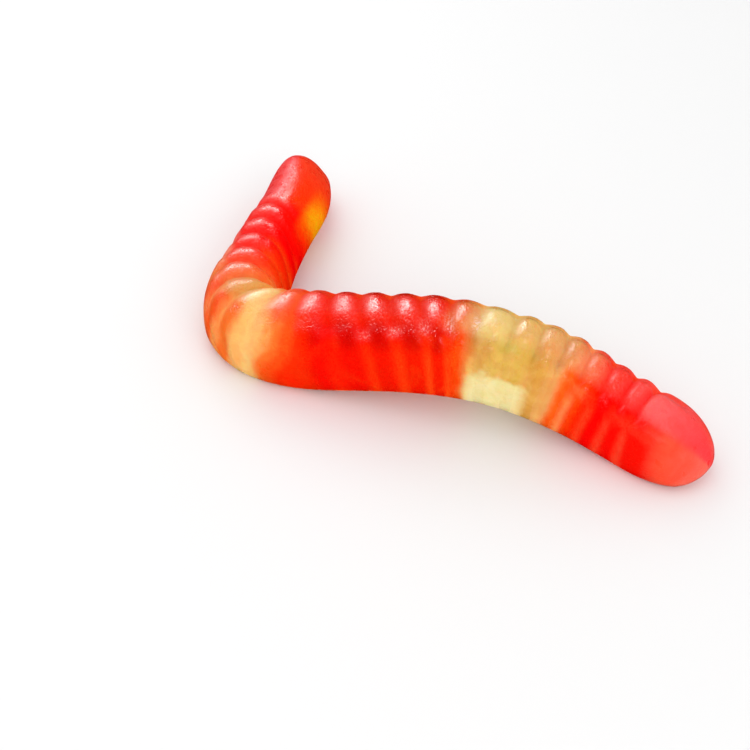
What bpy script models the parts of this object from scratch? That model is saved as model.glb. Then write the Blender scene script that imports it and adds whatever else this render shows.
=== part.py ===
# Gummy worm: one piece of soft jelly with a flat underside, a ribbed rounded top and a bend at its elbow.
# All driving sizes are in millimetres and degrees. The mesh is written in metres with +Z up.
import math

import bmesh
import bpy

# Length along the middle of the flat underside, from the head nose to the tail nose
LENGTH = 84.5

# Plan heading at the head nose, measured from +X, then the turns met on the way to the tail.
# Each turn is (middle of the turn along the body, length of the turn, angle turned to the left).
HEAD_HEADING = -101.9
PLAN_TURNS = (
    (10.9, 5.1, -9.0),
    (17.9, 15.6, 8.0),
    (30.75, 12.8, 86.3),
    (49.2, 27.2, -1.5),
    (70.2, 18.6, -19.0),
    (76.9, 8.8, -1.8),
)

# Changes of slope in the same form: up from the elbow, over the arch of the near leg, level at the tail
SLOPE_TURNS = (
    (39.1, 11.0, 14.5),
    (57.5, 21.5, -28.6),
    (75.6, 10.0, 19.2),
)

# How far the far leg is rolled over towards the outer side of the elbow, and where it comes upright.
# A positive roll leans the crest to the right of the way from head to tail. It ends before the slope
# starts, so that the elbow lies flat on the ground between the two.
HEAD_ROLL = 32.0
ROLL_TURNS = (
    (21.6, 16.0, -32.0),
)

# Where the near leg leaves the ground plane and where it comes back to it
LIFT_START = 34.0
LIFT_END = 73.0

# Width and height of the body at stations along it: (station, width, height)
STATIONS = (
    (0.0, 6.6, 7.2),
    (9.0, 7.6, 6.9),
    (19.0, 8.0, 7.0),
    (29.0, 9.4, 7.9),
    (39.0, 10.7, 8.9),
    (51.0, 10.6, 8.5),
    (63.0, 9.8, 8.5),
    (74.0, 8.9, 7.7),
    (84.5, 10.3, 6.1),
)

# Length of each rounded nose and how blunt it is in plan (2 is an ellipse)
HEAD_NOSE = 9.6
HEAD_BLUNT = 1.7
TAIL_NOSE = 10.5
TAIL_BLUNT = 3.3
# The height of a nose opens over this share of its length, and is this blunt
NOSE_HEIGHT_REACH = 0.58
NOSE_HEIGHT_BLUNT = 2.6
# The tip of each nose stands clear of the flat underside, which rounds up to meet it
TIP_LIFT = 1.7
TIP_ROUND = 2.6

# Cross-section: the widest level as a share of the height, how full the dome is, and the foot corner
WIDEST_LEVEL = 0.30
DOME_FULLNESS = 2.2
FOOT_CORNER = 1.3

# Ribs: pitch along mid height, first groove, number of grooves and how rounded they are
RIB_PITCH = 3.27
FIRST_GROOVE = 15.9
GROOVE_COUNT = 22
GROOVE_ROUNDNESS = 0.62
# The grooves stop this high above the foot and fade over this height
SMOOTH_FOOT = 1.2
RIB_FADE = 1.6
# The grooves and the waist start this far from the head tip, and reach full depth at the second value
HEAD_FADE = (9.0, 12.5)
# They end in the same way before the tail tip, the waist closer to it than the grooves
TAIL_GROOVE_FADE = (4.4, 8.4)
TAIL_WAIST_FADE = (1.6, 5.6)
# Depths along the body: (station, grooves over the crest, grooves on the flanks, waist)
DEPTHS = (
    (0.0, 0.50, 0.28, 0.12),
    (25.0, 0.50, 0.30, 0.12),
    (35.0, 0.42, 0.26, 0.12),
    (43.0, 0.56, 0.15, 0.20),
    (58.0, 0.56, 0.15, 0.20),
    (68.0, 0.66, 0.32, 0.30),
    (84.5, 0.66, 0.32, 0.24),
)
# The crest depth changes to the flank depth between these two angles from the crest, in degrees
CREST_TO_FLANK = (31.0, 53.0)
# The waist parts the knobs of the crest from the flanks: its place and spread in degrees from the crest
WAIST_FROM_CREST = 28.0
WAIST_SPREAD = 9.0
# The ribs stand closer together on the far leg and over the tail: (station, how much closer)
CROWDING = (
    (0.0, 0.14),
    (24.0, 0.14),
    (28.0, 0.03),
    (36.0, 0.03),
    (40.0, 0.0),
    (59.5, 0.0),
    (62.5, 0.30),
    (72.0, 0.30),
    (77.0, 0.0),
)
# How the ribs lean along the body, in millimetres along for each millimetre across: (station, lean).
# They stay in place where they cross the far shoulder.
LEANS = (
    (0.0, 0.0),
    (25.0, 0.0),
    (34.0, -0.20),
    (45.0, 0.33),
    (50.0, 0.33),
    (59.0, 0.02),
    (73.0, 0.0),
    (78.0, -0.08),
    (84.5, 0.0),
)
LEAN_PIVOT = 3.3
# How the ribs rake back, in millimetres towards the tail for each millimetre below the crest
RAKES = (
    (0.0, 0.0),
    (12.0, 0.6),
    (27.0, 0.6),
    (32.0, 0.3),
    (36.0, 0.0),
)

# The inner side of the elbow is squeezed so it never passes this share of the way to the turning centre
SQUEEZE_LIMIT = 0.75
SQUEEZE_SHARPNESS = 4.0

# Mesh resolution
TOP_STEPS = 22
CORNER_STEPS = 2
NOSE_RINGS = 8
RIB_RINGS = (0.0, 0.11, 0.34, 0.66, 0.89)
TRACK_STEPS = 840

MM = 0.001


def ease(x):
    """Smooth step that goes from 0 at x = -0.5 to 1 at x = 0.5."""
    t = min(max(x + 0.5, 0.0), 1.0)
    return t * t * (3.0 - 2.0 * t)


def ease_rate(x):
    """Slope of ease at x."""
    t = min(max(x + 0.5, 0.0), 1.0)
    return 6.0 * t * (1.0 - t)


def eased(x, start, end):
    """0 before start and 1 after end, with a smooth change between them."""
    return ease((x - start) / (end - start) - 0.5)


def turned(turns, s):
    """Angle in radians turned by station s."""
    return math.radians(sum(angle * ease((s - mid) / span) for mid, span, angle in turns))


def turn_rate(turns, s):
    """Curvature in radians per millimetre at station s."""
    return math.radians(sum(angle * ease_rate((s - mid) / span) / span for mid, span, angle in turns))


def table_value(table, s, column):
    """A column of a table at station s, eased between its rows."""
    for low, high in zip(table, table[1:]):
        if s <= high[0]:
            return low[column] + (high[column] - low[column]) * eased(s, low[0], high[0])
    return table[-1][column]


def station_value(s, column):
    """Width (column 1) or height (column 2) at station s."""
    return table_value(STATIONS, s, column)


def nose_factor(distance, reach, blunt):
    """How far a rounded nose has opened at a distance from its tip: 0 at the tip, 1 past its reach."""
    x = min(max(distance / reach, 0.0), 1.0)
    return math.sqrt(max(1.0 - (1.0 - x) ** blunt, 0.0))


def tip_lift(s):
    """Height of the underside above the flat near either tip."""
    nearest = min(s, LENGTH - s)
    return TIP_LIFT * (1.0 - nose_factor(nearest, TIP_ROUND, 2.0))


def track():
    """Walk along the underside and return rows of (x, y, z, heading, slope, rib coordinate)."""
    step = LENGTH / TRACK_STEPS
    rows = []
    x = y = z = rib = 0.0
    for i in range(TRACK_STEPS + 1):
        s = i * step
        heading = math.radians(HEAD_HEADING) + turned(PLAN_TURNS, s)
        slope = turned(SLOPE_TURNS, s)
        rows.append([x, y, z, heading, slope, rib])
        middle = s + 0.5 * step
        heading = math.radians(HEAD_HEADING) + turned(PLAN_TURNS, middle)
        slope = turned(SLOPE_TURNS, middle)
        x += step * math.cos(slope) * math.cos(heading)
        y += step * math.cos(slope) * math.sin(heading)
        z += step * math.sin(slope)
        bent = 0.5 * station_value(middle, 2) * turn_rate(SLOPE_TURNS, middle)
        rib += step * (1.0 - bent + table_value(CROWDING, middle, 1))
    # Bring the lowest point of the tail back down to the ground plane
    tail_low = min(row[2] for i, row in enumerate(rows) if i * step > LIFT_END - 8.0)
    for i, row in enumerate(rows):
        row[2] -= tail_low * eased(i * step, LIFT_START, LIFT_END)
    return rows


def ring_stations(rows):
    """Stations of the rings: closer together at the noses, and five to each rib."""
    step = LENGTH / TRACK_STEPS

    def station_of(rib):
        for i in range(TRACK_STEPS):
            if rows[i + 1][5] >= rib:
                share = (rib - rows[i][5]) / (rows[i + 1][5] - rows[i][5])
                return (i + share) * step
        return LENGTH

    ribs = []
    for groove in range(GROOVE_COUNT):
        for share in RIB_RINGS:
            ribs.append(station_of(FIRST_GROOVE + RIB_PITCH * (groove + share)))
            if groove == GROOVE_COUNT - 1:
                break
    quarter = 0.5 * math.pi / (NOSE_RINGS + 1)
    head = [ribs[0] * (1.0 - math.cos(quarter * (k + 1))) for k in range(NOSE_RINGS)]
    gap = LENGTH - ribs[-1]
    tail = [LENGTH - gap * (1.0 - math.cos(quarter * (k + 1))) for k in reversed(range(NOSE_RINGS))]
    return head + ribs + tail


def section_count():
    """Number of points round one section."""
    return TOP_STEPS + 1 + 2 * CORNER_STEPS + 1


def section_point(width, height, k):
    """Point k round one plain section as (side, up, rise), where rise runs from 0 at the left widest point
    to 180 at the right one and is None on the foot."""
    widest = WIDEST_LEVEL * height
    if k <= TOP_STEPS:
        angle = math.pi * k / TOP_STEPS
        c = math.cos(angle)
        s = math.sin(angle)
        side = 0.5 * width * math.copysign(abs(c) ** (2.0 / DOME_FULLNESS), c)
        up = widest + (height - widest) * s ** (2.0 / DOME_FULLNESS)
        return side, up, math.degrees(angle)
    j = k - TOP_STEPS
    if j == CORNER_STEPS + 1:
        return 0.0, 0.0, None
    side_sign = -1.0
    if j > CORNER_STEPS + 1:
        j = 2 * CORNER_STEPS + 2 - j
        side_sign = 1.0
    corner = min(FOOT_CORNER, 0.3 * width)
    angle = 0.5 * math.pi * j / CORNER_STEPS
    side = 0.5 * width - corner + corner * math.cos(angle)
    return side_sign * side, widest * (1.0 - math.sin(angle)), None


def groove_depth(s, rib, up, rise):
    """Depth below the bead tops at one point of the dome."""
    if rise is None:
        return 0.0
    from_crest = abs(rise - 90.0)
    crest = table_value(DEPTHS, s, 1)
    flank = table_value(DEPTHS, s, 2)
    depth = flank + (crest - flank) * (1.0 - eased(from_crest, *CREST_TO_FLANK))
    count = (rib - FIRST_GROOVE) / RIB_PITCH
    if count < -0.5 or count > GROOVE_COUNT - 0.5:
        bead = 1.0
    else:
        bead = abs(math.sin(math.pi * count)) ** GROOVE_ROUNDNESS
    waist = table_value(DEPTHS, s, 3) * math.exp(-(((from_crest - WAIST_FROM_CREST) / WAIST_SPREAD) ** 2))
    depth *= (1.0 - bead) * eased(LENGTH - s, *TAIL_GROOVE_FADE)
    waist *= eased(LENGTH - s, *TAIL_WAIST_FADE)
    return (depth + waist) * eased(s, *HEAD_FADE) * eased(up, SMOOTH_FOOT, SMOOTH_FOOT + RIB_FADE)


def squeezed(side, curvature):
    """Side offset with the inner side of a tight turn held back from the turning centre."""
    pull = side * curvature
    if pull <= 0.0:
        return side
    return side / (1.0 + (pull / SQUEEZE_LIMIT) ** SQUEEZE_SHARPNESS) ** (1.0 / SQUEEZE_SHARPNESS)


def roll_at(s):
    """Roll of the section at station s, in radians."""
    return math.radians(HEAD_ROLL) + turned(ROLL_TURNS, s)


def roll_rise(s):
    """How far a rolled section is raised, so that its lower edge still lies on the ground."""
    roll = roll_at(s)
    width = station_value(s, 1)
    height = station_value(s, 2)
    widest = WIDEST_LEVEL * height
    across = math.sin(abs(roll))
    upright = math.cos(roll)
    edge = (0.5 * width - FOOT_CORNER) * across
    corner = math.hypot(FOOT_CORNER * across, widest * upright) - widest * upright
    return edge + corner - 0.5 * height * (1.0 - upright)


def placed(row, s, side, up):
    """A point of the section at station s, in millimetres."""
    x, y, z, heading, slope, rib = row
    left = (-math.sin(heading), math.cos(heading), 0.0)
    above = (-math.sin(slope) * math.cos(heading), -math.sin(slope) * math.sin(heading), math.cos(slope))
    roll = roll_at(s)
    pivot = 0.5 * station_value(s, 2)
    over = up - pivot
    across = side * math.cos(roll) - over * math.sin(roll)
    above_ground = pivot + over * math.cos(roll) + side * math.sin(roll) + roll_rise(s)
    return (x + across * left[0] + above_ground * above[0],
            y + across * left[1] + above_ground * above[1],
            z + above_ground * above[2])


def section_size(s):
    """Width and height at station s, closing at the noses."""
    head = nose_factor(s, HEAD_NOSE, HEAD_BLUNT)
    tail = nose_factor(LENGTH - s, TAIL_NOSE, TAIL_BLUNT)
    head_high = nose_factor(s, HEAD_NOSE * NOSE_HEIGHT_REACH, NOSE_HEIGHT_BLUNT)
    tail_high = nose_factor(LENGTH - s, TAIL_NOSE * NOSE_HEIGHT_REACH, NOSE_HEIGHT_BLUNT)
    return station_value(s, 1) * head * tail, station_value(s, 2) * head_high * tail_high


def ring_points(s, rows):
    """The points of one ring in millimetres. A ring leans and rakes along the body as the ribs do."""
    rib = row_at(rows, s)[5]
    lean = table_value(LEANS, s, 1)
    rake = table_value(RAKES, s, 1)
    first_width, first_height = section_size(s)
    points = []
    for k in range(section_count()):
        first_side, first_up, rise = section_point(first_width, first_height, k)
        station = s - lean * (first_side - LEAN_PIVOT) + rake * (first_height - first_up)
        width, height = section_size(station)
        side, up, rise = section_point(width, height, k)
        widest = WIDEST_LEVEL * height
        depth = groove_depth(station, rib, up, rise)
        if depth > 0.0:
            reach = math.hypot(side, up - widest)
            shrink = max(reach - depth, 0.2 * reach) / reach
            side *= shrink
            up = widest + (up - widest) * shrink
        side = squeezed(side, turn_rate(PLAN_TURNS, station))
        points.append(placed(row_at(rows, station), station, side, up + tip_lift(station)))
    return points


def tip_point(rows, s):
    """The tip of a nose, at the height where the rounded underside meets the dome."""
    return placed(row_at(rows, s), s, 0.0, TIP_LIFT)


def row_at(rows, s):
    """The track's values at station s."""
    place = min(max(s / LENGTH, 0.0), 1.0) * TRACK_STEPS
    i = min(int(place), TRACK_STEPS - 1)
    share = place - i
    return [a + (b - a) * share for a, b in zip(rows[i], rows[i + 1])]


def build_worm(collection, material):
    """A sphere of rings, each ring drawn out to a section of the body."""
    rows = track()
    stations = ring_stations(rows)
    rings = [ring_points(s, rows) for s in stations]
    tips = [tip_point(rows, 0.0), tip_point(rows, LENGTH)]
    around = len(rings[0])
    bm = bmesh.new()
    bmesh.ops.create_uvsphere(bm, u_segments=around, v_segments=len(rings) + 1, radius=1.0)
    for vert in bm.verts:
        polar = math.acos(min(max(vert.co.z, -1.0), 1.0))
        ring = round(polar / math.pi * (len(rings) + 1))
        if ring == 0:
            vert.co = tips[0]
        elif ring == len(rings) + 1:
            vert.co = tips[1]
        else:
            turn = math.atan2(vert.co.y, vert.co.x) / (2.0 * math.pi)
            vert.co = rings[ring - 1][round(turn * around) % around]
    bmesh.ops.recalc_face_normals(bm, faces=bm.faces)
    low = [min(v.co[axis] for v in bm.verts) for axis in range(3)]
    high = [max(v.co[axis] for v in bm.verts) for axis in range(3)]
    middle = (0.5 * (low[0] + high[0]), 0.5 * (low[1] + high[1]), low[2])
    for vert in bm.verts:
        vert.co = [(vert.co[axis] - middle[axis]) * MM for axis in range(3)]
    mesh = bpy.data.meshes.new("worm")
    bm.to_mesh(mesh)
    bm.free()
    mesh.materials.append(material)
    mesh.shade_smooth()
    mesh.set_sharp_from_angle(angle=math.radians(60.0))
    worm = bpy.data.objects.new("worm", mesh)
    collection.objects.link(worm)
    return worm


def jelly_material():
    """Clear red jelly, the colour of most of the worm."""
    material = bpy.data.materials.new("jelly")
    material.use_nodes = True
    shader = material.node_tree.nodes["Principled BSDF"]
    shader.inputs["Base Color"].default_value = (0.85, 0.05, 0.02, 1.0)
    shader.inputs["Roughness"].default_value = 0.25
    shader.inputs["IOR"].default_value = 1.43
    return material


for old in list(bpy.data.objects):
    bpy.data.objects.remove(old, do_unlink=True)

gummy_worm = bpy.data.collections.new("gummy worm")
bpy.context.scene.collection.children.link(gummy_worm)
build_worm(gummy_worm, jelly_material())
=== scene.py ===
# %% [markdown]
# # A gummy worm
# The real sweet is soft clear jelly, cast in a starch mould that is open at the top. It comes out with a row
# of rounded ribs and one flat side, on which it lies here. Several colours of jelly are poured into one
# mould, so the colours melt into each other along the body. This lesson grows that body from one bent line
# with Geometry Nodes, and then gives it a jelly material that knows how far along the body it is.

import math

import bpy
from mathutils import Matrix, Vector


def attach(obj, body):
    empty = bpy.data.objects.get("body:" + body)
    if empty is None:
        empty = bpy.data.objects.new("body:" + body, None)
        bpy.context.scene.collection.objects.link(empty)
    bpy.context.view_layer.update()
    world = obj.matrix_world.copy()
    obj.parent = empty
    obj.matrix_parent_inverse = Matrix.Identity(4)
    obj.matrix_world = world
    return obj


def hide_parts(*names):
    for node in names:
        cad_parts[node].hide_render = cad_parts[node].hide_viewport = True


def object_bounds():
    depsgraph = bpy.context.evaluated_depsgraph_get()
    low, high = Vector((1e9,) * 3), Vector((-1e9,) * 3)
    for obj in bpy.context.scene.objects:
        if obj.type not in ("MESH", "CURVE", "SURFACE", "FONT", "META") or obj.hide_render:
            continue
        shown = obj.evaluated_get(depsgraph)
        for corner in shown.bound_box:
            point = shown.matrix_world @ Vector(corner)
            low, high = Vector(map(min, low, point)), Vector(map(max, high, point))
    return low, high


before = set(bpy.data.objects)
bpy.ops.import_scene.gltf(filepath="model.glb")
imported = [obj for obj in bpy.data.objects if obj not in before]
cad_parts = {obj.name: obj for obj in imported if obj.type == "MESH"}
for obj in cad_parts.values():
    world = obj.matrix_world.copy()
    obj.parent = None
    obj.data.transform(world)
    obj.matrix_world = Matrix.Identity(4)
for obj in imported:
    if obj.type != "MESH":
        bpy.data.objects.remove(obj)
cad_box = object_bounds()
print("packed model from", [round(v, 4) for v in cad_box[0]], "to", [round(v, 4) for v in cad_box[1]])

# %% [markdown]
# ## The driving sizes
# A worm follows a rule, so a short list of sizes can describe it all. They are the sizes of the solid, so
# that the grown body fills the same place, and they are written in millimetres and degrees. First comes the
# line along the middle of the flat underside. Each of its turns is the place of its middle, the length that
# it takes and its angle: some turn the line in plan, some up or down, and one rolls the body round the line,
# because the far leg leans over on its edge.

# %% Sizes of the line
MM = 0.001
LENGTH = 84.5
HEAD_HEADING = -101.9
PLAN_TURNS = (
    (10.9, 5.1, -9.0),
    (17.9, 15.6, 8.0),
    (30.75, 12.8, 86.3),
    (49.2, 27.2, -1.5),
    (70.2, 18.6, -19.0),
    (76.9, 8.8, -1.8),
)
SLOPE_TURNS = (
    (39.1, 11.0, 14.5),
    (57.5, 21.5, -28.6),
    (75.6, 10.0, 19.2),
)
HEAD_ROLL = 32.0
ROLL_TURNS = (
    (21.6, 16.0, -32.0),
)
LIFT_START = 34.0
LIFT_END = 73.0
TAIL_START = LIFT_END - 8.0
RULER_STEPS = 1690
print("a line of", LENGTH, "mm with", len(PLAN_TURNS), "turns in plan and", len(SLOPE_TURNS), "up or down")

# %% [markdown]
# The section is wider in the middle of the worm than at its noses. A station is a place along the line, with
# the width and the height of the body there, and names for the columns keep the later formulas readable.
# Each nose is rounded over its own reach. A bluntness of 2 makes it an ellipse in plan, and a higher one
# makes it squarer.

# %% Sizes of the section
STATIONS = (
    (0.0, 6.6, 7.2),
    (9.0, 7.6, 6.9),
    (19.0, 8.0, 7.0),
    (29.0, 9.4, 7.9),
    (39.0, 10.7, 8.9),
    (51.0, 10.6, 8.5),
    (63.0, 9.8, 8.5),
    (74.0, 8.9, 7.7),
    (84.5, 10.3, 6.1),
)
WIDTH = 1
HEIGHT = 2
HEAD_NOSE = 9.6
HEAD_BLUNT = 1.7
TAIL_NOSE = 10.5
TAIL_BLUNT = 3.3
NOSE_HEIGHT_REACH = 0.58
NOSE_HEIGHT_BLUNT = 2.6
TIP_LIFT = 1.7
TIP_ROUND = 2.6
TIP_BLUNT = 2.0
WIDEST_LEVEL = 0.30
DOME_FULLNESS = 2.2
FOOT_CORNER = 1.3
print("the body is", max(row[WIDTH] for row in STATIONS), "mm across at its widest")

# %% [markdown]
# The ribs are what is left between the grooves. A row of depths is a place, then the depth of the grooves
# at the crest, their depth on the flanks, and the depth of the waist that parts crest and flanks. The crest
# ends between two angles from the top. Each fade is a stretch, measured from the nearer tip, in which the
# depth grows. The other tables hold a place and one value: how much closer the ribs stand, how far they lean
# along the body for each millimetre across it, and how far they rake back for each millimetre downwards.

# %% Sizes of the ribs
RIB_PITCH = 3.27
FIRST_GROOVE = 15.9
GROOVE_COUNT = 22
HEAD_FADE = (9.0, 12.5)
TAIL_GROOVE_FADE = (4.4, 8.4)
TAIL_WAIST_FADE = (1.6, 5.6)
DEPTHS = (
    (0.0, 0.50, 0.28, 0.12),
    (25.0, 0.50, 0.30, 0.12),
    (35.0, 0.42, 0.26, 0.12),
    (43.0, 0.56, 0.15, 0.20),
    (58.0, 0.56, 0.15, 0.20),
    (68.0, 0.66, 0.32, 0.30),
    (84.5, 0.66, 0.32, 0.24),
)
CREST_DEPTH = 1
FLANK_DEPTH = 2
WAIST_DEPTH = 3
CREST_TO_FLANK = (31.0, 53.0)
CROWDING = (
    (0.0, 0.14),
    (24.0, 0.14),
    (28.0, 0.03),
    (36.0, 0.03),
    (40.0, 0.0),
    (59.5, 0.0),
    (62.5, 0.30),
    (72.0, 0.30),
    (77.0, 0.0),
)
LEANS = (
    (0.0, 0.0),
    (25.0, 0.0),
    (34.0, -0.20),
    (45.0, 0.33),
    (50.0, 0.33),
    (59.0, 0.02),
    (73.0, 0.0),
    (78.0, -0.08),
    (84.5, 0.0),
)
LEAN_PIVOT = 3.3
RAKES = (
    (0.0, 0.0),
    (12.0, 0.6),
    (27.0, 0.6),
    (32.0, 0.3),
    (36.0, 0.0),
)
print(GROOVE_COUNT, "grooves,", RIB_PITCH, "mm apart where they aren't crowded")

# %% [markdown]
# ## Helpers for smooth changes
# Every turn and every change of width starts and ends gently. One smooth step does all of that: its value
# says how much of the change has happened, and its slope says how sharply the line is turning there.


# %% Smooth steps
def ease(x):
    """Smooth step from 0 at x = -0.5 to 1 at x = 0.5."""
    t = min(max(x + 0.5, 0.0), 1.0)
    return t * t * (3.0 - 2.0 * t)


def ease_rate(x):
    """Slope of ease at x."""
    t = min(max(x + 0.5, 0.0), 1.0)
    return 6.0 * t * (1.0 - t)


def eased(x, start, end):
    """0 before start and 1 after end, with a smooth change between them."""
    return ease((x - start) / (end - start) - 0.5)


def turned(turns, s):
    """Angle in radians turned by station s."""
    return math.radians(sum(angle * ease((s - mid) / span) for mid, span, angle in turns))


def turn_rate(turns, s):
    """Curvature in radians per millimetre at station s."""
    return math.radians(sum(angle * ease_rate((s - mid) / span) / span for mid, span, angle in turns))


def table_value(table, s, column=1):
    """A column of a table at station s, eased between its rows."""
    for low, high in zip(table, table[1:]):
        if s <= high[0]:
            return low[column] + (high[column] - low[column]) * eased(s, low[0], high[0])
    return table[-1][column]


def nose_factor(distance, reach, blunt):
    """How far a rounded nose has opened: 0 at its tip and 1 past its reach."""
    x = min(max(distance / reach, 0.0), 1.0)
    return math.sqrt(max(1.0 - (1.0 - x) ** blunt, 0.0))


print("the elbow turns", round(math.degrees(turned(PLAN_TURNS[2:3], LENGTH)), 1), "degrees")

# %% [markdown]
# ## The camera
# The photograph looks down on the worm from a little less than halfway between level and overhead, from
# close by, with a longish lens. The near leg of the worm then runs across the picture and the far leg runs
# away.

# %% Camera
CAMERA_ELEVATION = 42.0
CAMERA_AZIMUTH = 0.0
CAMERA_DISTANCE = 0.1538
CAMERA_TARGET = (-0.00749, -0.00870, 0.0)
CAMERA_LENS = 67.4

tilt = math.radians(CAMERA_ELEVATION)
swing = math.radians(CAMERA_AZIMUTH)
camera_data = bpy.data.cameras.new("camera")
camera_data.lens = CAMERA_LENS
camera_data.clip_start = 0.01
camera = bpy.data.objects.new("camera", camera_data)
camera.location = (
    CAMERA_TARGET[0] + CAMERA_DISTANCE * math.sin(swing) * math.cos(tilt),
    CAMERA_TARGET[1] - CAMERA_DISTANCE * math.cos(swing) * math.cos(tilt),
    CAMERA_TARGET[2] + CAMERA_DISTANCE * math.sin(tilt),
)
camera.rotation_euler = (math.radians(90.0) - tilt, 0.0, swing)
bpy.context.scene.collection.objects.link(camera)
bpy.context.scene.camera = camera
print("camera at", [round(v, 4) for v in camera.location])

# %% [markdown]
# ## The line through the underside
# The body is swept along a line, so the line comes first. It could be a Bezier curve drawn by hand, but a
# walk that turns by known angles is easier to change and keeps its length. The walk also counts the ribs:
# they stand a little closer together on the far leg, closer still towards the tail, and they open or close
# where the body bends up or down. At last the near leg is lowered, more and more along its way, until the
# lowest place of the tail rests on the ground.


# %% Walk the line
def walk():
    """Rows of the line in millimetres: x, y, z, heading, slope, rib coordinate."""
    step = LENGTH / RULER_STEPS
    rows = []
    x = y = z = rib = 0.0
    for i in range(RULER_STEPS + 1):
        s = i * step
        heading = math.radians(HEAD_HEADING) + turned(PLAN_TURNS, s)
        slope = turned(SLOPE_TURNS, s)
        rows.append([x, y, z, heading, slope, rib])
        middle = s + 0.5 * step
        heading = math.radians(HEAD_HEADING) + turned(PLAN_TURNS, middle)
        slope = turned(SLOPE_TURNS, middle)
        x += step * math.cos(slope) * math.cos(heading)
        y += step * math.cos(slope) * math.sin(heading)
        z += step * math.sin(slope)
        bent = 0.5 * table_value(STATIONS, middle, HEIGHT) * turn_rate(SLOPE_TURNS, middle)
        rib += step * (1.0 - bent + table_value(CROWDING, middle))
    tail_low = min(row[2] for i, row in enumerate(rows) if i * step > TAIL_START)
    for i, row in enumerate(rows):
        row[2] -= tail_low * eased(i * step, LIFT_START, LIFT_END)
    return rows


line_rows = walk()
print("the line ends", round(line_rows[-1][0], 1), "mm along and", round(line_rows[-1][1], 1), "mm across")

# %% [markdown]
# ## A ruler that carries the body's sizes
# Geometry Nodes read one value after another along a curve. So the sizes are laid out on a straight ruler
# as long as the worm. Each mark of the ruler carries what the body needs to know there: where the bent
# path is, which way is left, which way is up, how wide and high the body is, and how deep the grooves are.
# The far leg lies rolled over on its edge, so there left and up are turned round the way of the body, and
# the path is raised until the lower edge just touches the ground.


# %% Frames of the body
def section_sizes(s):
    """Width, height and lift of the underside at station s, in millimetres."""
    head = nose_factor(s, HEAD_NOSE, HEAD_BLUNT)
    tail = nose_factor(LENGTH - s, TAIL_NOSE, TAIL_BLUNT)
    head_high = nose_factor(s, HEAD_NOSE * NOSE_HEIGHT_REACH, NOSE_HEIGHT_BLUNT)
    tail_high = nose_factor(LENGTH - s, TAIL_NOSE * NOSE_HEIGHT_REACH, NOSE_HEIGHT_BLUNT)
    width = table_value(STATIONS, s, WIDTH) * head * tail
    height = table_value(STATIONS, s, HEIGHT) * head_high * tail_high
    lift = TIP_LIFT * (1.0 - nose_factor(min(s, LENGTH - s), TIP_ROUND, TIP_BLUNT))
    return width, height, lift


def roll_rise(s, roll):
    """How far a rolled section is raised, so that its lower edge still lies on the ground."""
    height = table_value(STATIONS, s, HEIGHT)
    widest = WIDEST_LEVEL * height
    across = math.sin(abs(roll))
    upright = math.cos(roll)
    edge = (0.5 * table_value(STATIONS, s, WIDTH) - FOOT_CORNER) * across
    corner = math.hypot(FOOT_CORNER * across, widest * upright) - widest * upright
    return edge + corner - 0.5 * height * (1.0 - upright)


def body_frame(row, s):
    """Origin, left and up of the section at station s, in millimetres."""
    heading, slope = row[3:5]
    left = (-math.sin(heading), math.cos(heading), 0.0)
    above = (-math.sin(slope) * math.cos(heading), -math.sin(slope) * math.sin(heading), math.cos(slope))
    roll = math.radians(HEAD_ROLL) + turned(ROLL_TURNS, s)
    upright = math.cos(roll)
    tipped = math.sin(roll)
    rolled_left = [upright * left[axis] + tipped * above[axis] for axis in range(3)]
    rolled_above = [upright * above[axis] - tipped * left[axis] for axis in range(3)]
    pivot = 0.5 * table_value(STATIONS, s, HEIGHT)
    raised = pivot + roll_rise(s, roll)
    origin = [row[axis] + raised * above[axis] - pivot * rolled_above[axis] for axis in range(3)]
    return origin, rolled_left, rolled_above


head_size = section_sizes(HEAD_NOSE)
print("the head is", round(head_size[0], 1), "mm wide and", round(head_size[1], 1), "mm high")

# %% [markdown]
# The ruler is made as a chain of edges, because the points of a mesh take attributes with names of their
# own. A node turns the chain into a curve later, and the attributes come along.


# %% The ruler as a mesh whose points carry names
def ruler_mesh(rows):
    """A straight chain of edges in metres, with the body's sizes stored on its points."""
    mesh = bpy.data.meshes.new("worm ruler")
    marks = [(LENGTH * MM * i / RULER_STEPS, 0.0, 0.0) for i in range(RULER_STEPS + 1)]
    mesh.from_pydata(marks, [(i, i + 1) for i in range(RULER_STEPS)], [])
    columns = {}
    for i, row in enumerate(rows):
        s = LENGTH * i / RULER_STEPS
        origin, left, above = body_frame(row, s)
        width, height, lift = section_sizes(s)
        values = {
            "path": [number * MM for number in origin],
            "left": left,
            "above": above,
            "width": width * MM,
            "height": height * MM,
            "lift": lift * MM,
            "turning": turn_rate(PLAN_TURNS, s) / MM,
            "rib": row[5] * MM,
            "lean": table_value(LEANS, s),
            "rake": table_value(RAKES, s),
            "crest depth": table_value(DEPTHS, s, CREST_DEPTH) * MM,
            "flank depth": table_value(DEPTHS, s, FLANK_DEPTH) * MM,
            "waist depth": table_value(DEPTHS, s, WAIST_DEPTH) * MM,
        }
        for name, value in values.items():
            columns.setdefault(name, []).append(value)
    for name, values in columns.items():
        if isinstance(values[0], list):
            attribute = mesh.attributes.new(name, "FLOAT_VECTOR", "POINT")
            attribute.data.foreach_set("vector", [number for value in values for number in value])
        else:
            attribute = mesh.attributes.new(name, "FLOAT", "POINT")
            attribute.data.foreach_set("value", values)
    return mesh


worm = bpy.data.objects.new("worm_jelly", ruler_mesh(line_rows))
bpy.context.scene.collection.objects.link(worm)
print("the ruler has", len(worm.data.vertices), "marks and carries", len(worm.data.attributes), "attributes")

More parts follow.
